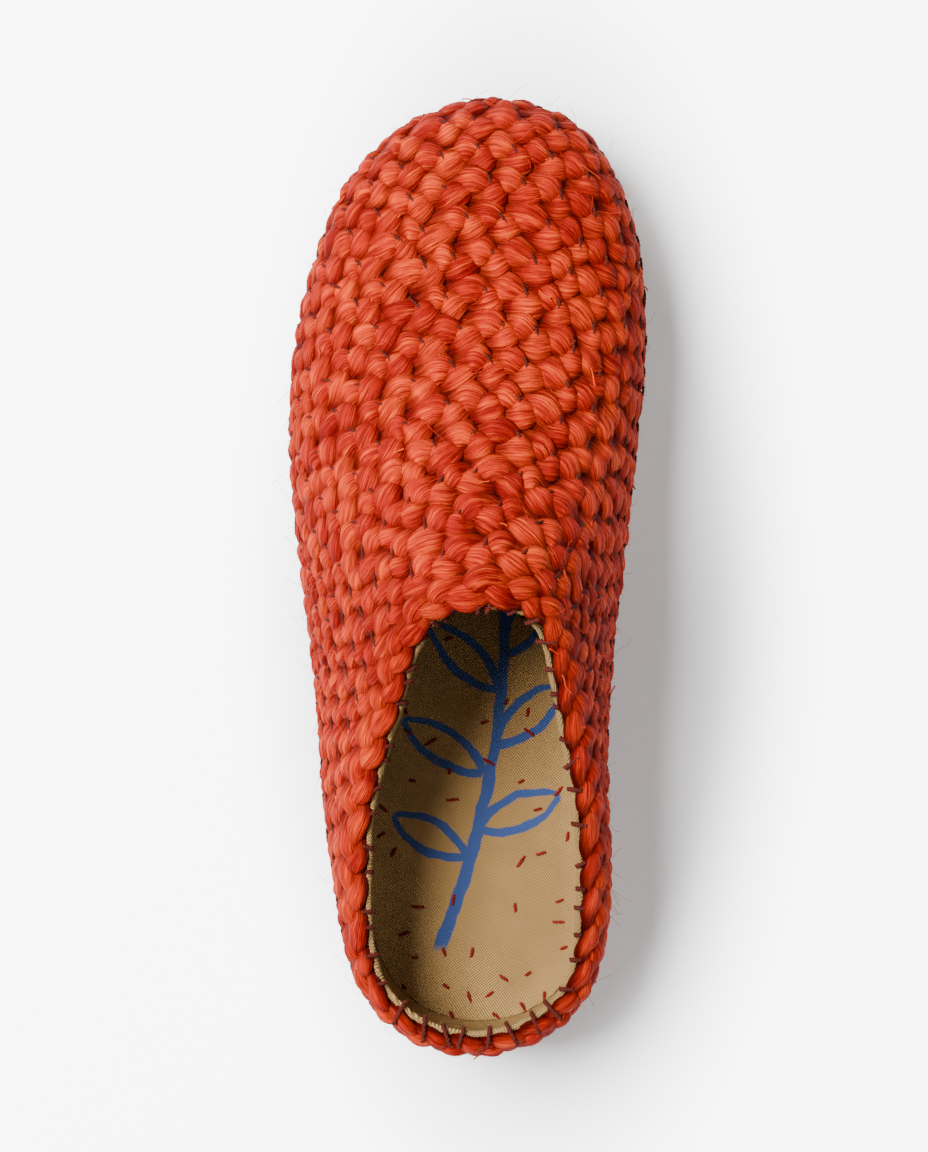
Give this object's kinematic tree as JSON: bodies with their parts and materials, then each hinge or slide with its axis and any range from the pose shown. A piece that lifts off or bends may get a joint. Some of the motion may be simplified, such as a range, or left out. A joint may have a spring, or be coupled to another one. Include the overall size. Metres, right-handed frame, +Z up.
{
  "type": "clog",
  "caption": "Left slip-on clog with a hollow upper of sewn raffia plaits, canvas insole, foam midsole and crepe rubber outsole.",
  "frame": {"origin": "on the floor, on the flat of the outsole under the middle of the heel, 37 mm from the back of the upper", "axes": "+Y towards the toe, +X towards the side of the big toe, +Z up"},
  "size_m": [0.1032, 0.2719, 0.0971],
  "materials": {
    "crepe_rubber": "natural amber crepe, speckled, matt",
    "white_foam": "off-white pebbled foam, matt",
    "raffia": "orange-red dyed raffia in three-strand plaits, soft sheen",
    "canvas": "tan cotton canvas, twill weave"
  },
  "bodies": {
    "root": {"outsole": "crepe_rubber", "midsole": "white_foam", "upper": "raffia", "insole": "canvas"}
  },
  "joints": []
}
